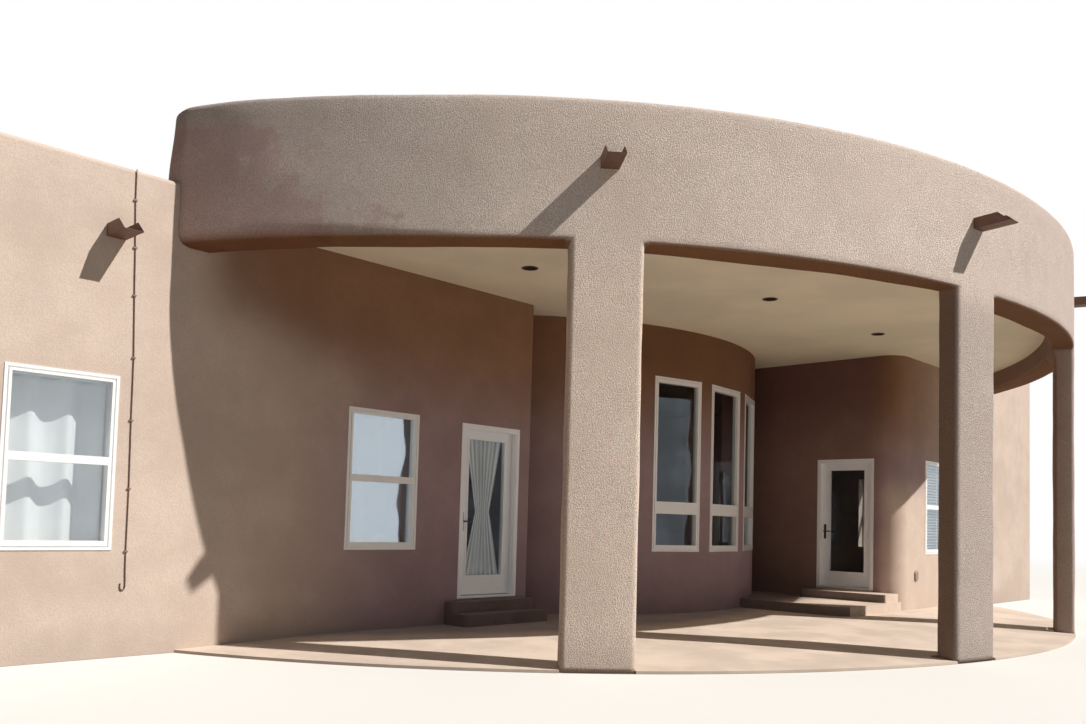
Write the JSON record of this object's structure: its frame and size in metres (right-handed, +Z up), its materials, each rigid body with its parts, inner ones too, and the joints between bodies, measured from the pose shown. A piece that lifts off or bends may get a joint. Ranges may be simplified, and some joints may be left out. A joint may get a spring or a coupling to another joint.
{
  "type": "stucco house",
  "caption": "Single-storey stucco house with a round room, a curved porch ring on columns, a low wing, flush windows and glazed doors",
  "frame": {"origin": "Centre of the round room, at ground level, on the underside of the main floor", "axes": "+X is the outward direction of the front wall, +Y runs along it towards the right wing, +Z is up"},
  "size_m": [13.2203, 20.216, 5.12],
  "materials": {
    "stucco": "hand-trowelled stucco, coarse sand grain",
    "concrete": "broomed concrete, dusty",
    "roofing": "mineral roofing sheet",
    "ceiling_plaster": "smooth cream plaster",
    "white_vinyl": "extruded window profile, satin",
    "white_paint": "painted steel door, satin",
    "black_metal": "dark handle, satin",
    "brown_sheet_metal": "folded sheet, matt brown",
    "white_cloth": "light woven cloth",
    "white_plastic": "plain",
    "bronze_metal": "dark trim",
    "brown_plastic": "plain",
    "brown_cable": "cable jacket",
    "glass": "clear window glass"
  },
  "bodies": {
    "house": {"front_wall_low": "stucco", "front_wall_high": "stucco", "front_wall_over_door": "stucco", "wing_corner_wall": "stucco", "roof_step_wall": "stucco", "round_wall_lower": "stucco", "round_wall_piers": "stucco", "round_wall_upper": "stucco", "entry_wall_left": "stucco", "entry_wall_over_door": "stucco", "side_wall": "stucco", "right_end_wall": "stucco", "rear_wall_high": "stucco", "rear_wall_low": "stucco", "left_end_wall": "stucco", "porch_beam_1": "stucco", "porch_beam_2": "stucco", "porch_beam_3": "stucco", "porch_beam_4": "stucco", "porch_column_1": "stucco", "porch_column_2": "stucco", "porch_column_3": "stucco", "left_wing_floor": "concrete", "main_floor": "concrete", "porch_floor": "concrete", "left_wing_roof": "roofing", "main_roof": "roofing", "porch_roof": "roofing", "porch_ceiling": "ceiling_plaster", "door_1_steps": "concrete", "door_2_steps": "concrete", "front_window_frames": "white_vinyl", "plain_window_frames": "white_vinyl", "bay_window_frames": "white_vinyl", "window_glass": "glass", "bay_window_glass": "glass", "door_1_frame": "white_paint", "door_2_frame": "white_paint", "wall_canale": "brown_sheet_metal", "porch_canales": "brown_sheet_metal", "window_curtains": "white_cloth", "curtain_rails": "white_plastic", "window_blinds": "white_plastic", "ceiling_lights": "bronze_metal", "outlet_cover": "brown_plastic", "wall_cable": "brown_cable", "cable_clips": "brown_plastic"},
    "door_1": {"door_1_leaf": "white_paint", "door_1_glass": "glass", "door_1_handle_plates": "black_metal", "door_1_curtain": "white_cloth", "door_1_curtain_rods": "white_plastic"},
    "door_1_handle": {"door_1_lever": "black_metal"},
    "door_2": {"door_2_leaf": "white_paint", "door_2_glass": "glass", "door_2_handle_plates": "black_metal"},
    "door_2_handle": {"door_2_lever": "black_metal"}
  },
  "joints": [
    {"name": "door_1_hinge", "type": "hinge", "parent": "house", "child": "door_1", "pos_m": [3.033, -3.4235, 1.4], "axis": [0, 0, -1], "range_deg": [0, 90]},
    {"name": "door_1_handle_turn", "type": "hinge", "parent": "door_1", "child": "door_1_handle", "pos_m": [3.0695, -4.234, 1.28], "axis": [-1, 0, 0], "range_deg": [0, 35], "stiffness_Nm_per_rad": 1, "springref_deg": -28.65},
    {"name": "door_2_hinge", "type": "hinge", "parent": "house", "child": "door_2", "pos_m": [5.032, 2.848, 1.4], "axis": [0, 0, -1], "range_deg": [0, 90]},
    {"name": "door_2_handle_turn", "type": "hinge", "parent": "door_2", "child": "door_2_handle", "pos_m": [4.2215, 2.8115, 1.28], "axis": [0, 1, 0], "range_deg": [0, 35], "stiffness_Nm_per_rad": 1, "springref_deg": -28.65}
  ]
}
